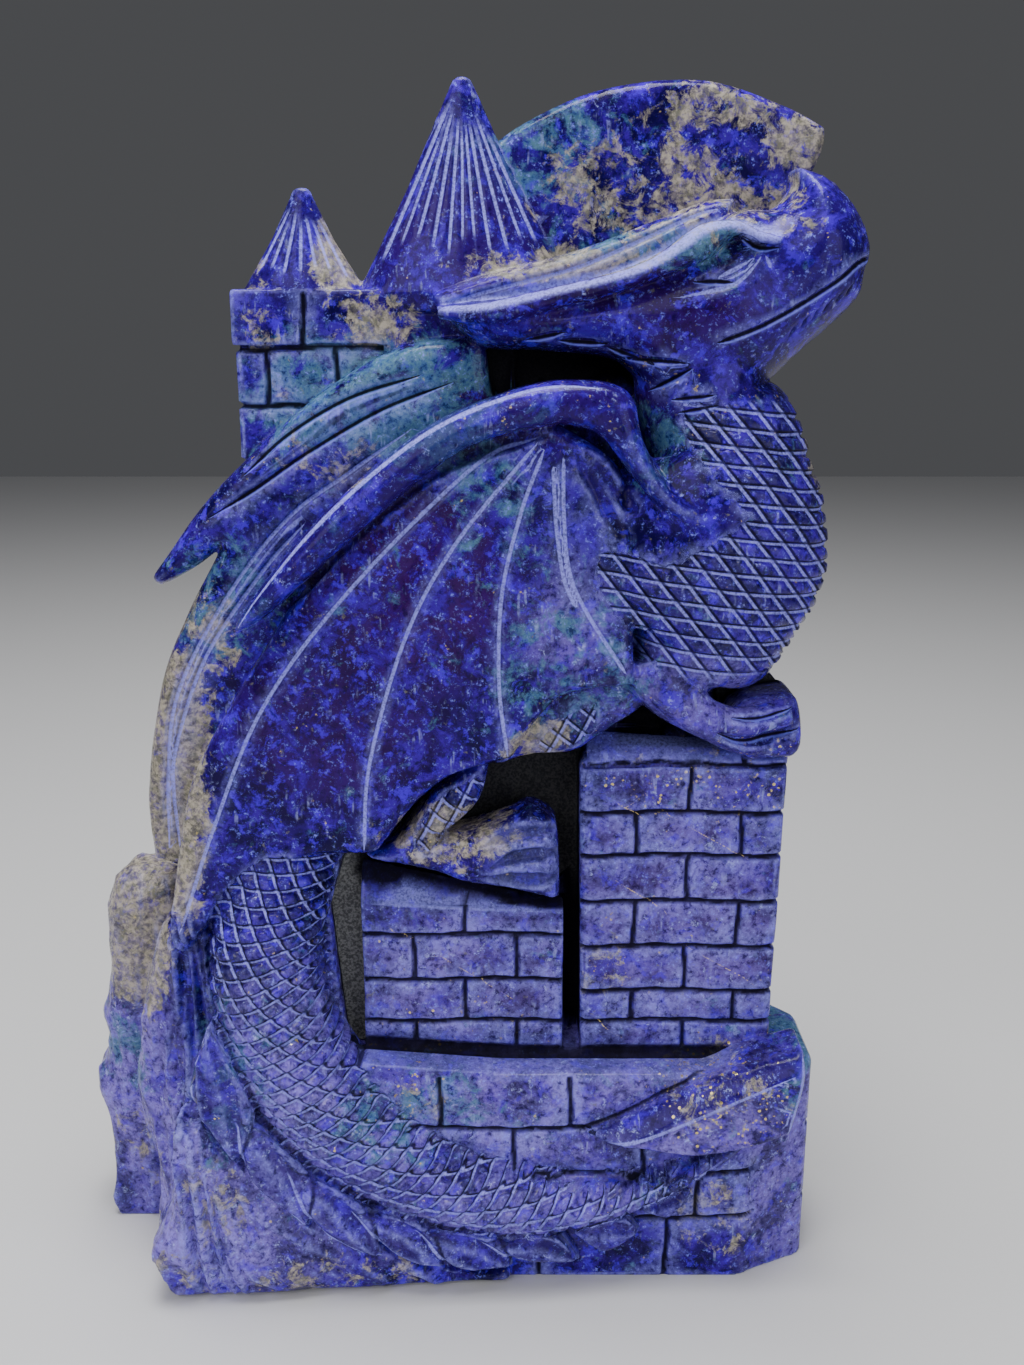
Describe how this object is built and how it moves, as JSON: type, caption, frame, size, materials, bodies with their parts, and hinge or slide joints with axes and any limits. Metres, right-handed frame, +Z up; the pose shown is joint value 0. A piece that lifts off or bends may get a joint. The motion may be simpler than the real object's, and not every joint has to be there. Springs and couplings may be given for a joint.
{
  "type": "dragon statue",
  "caption": "Statue of a horned dragon with folded wings perched on a brick castle, carved with its rocky plinth from one slab of blue stone.",
  "frame": {"origin": "middle of the bounding box, at the flat underside of the plinth", "axes": "+Z up to the roof tip, +X to the side the dragon looks at, -Y out of the carved front"},
  "size_m": [0.1354, 0.0394, 0.2066],
  "materials": {
    "stone": "polished"
  },
  "bodies": {
    "root": {"dragon_statue": "stone"}
  },
  "joints": []
}
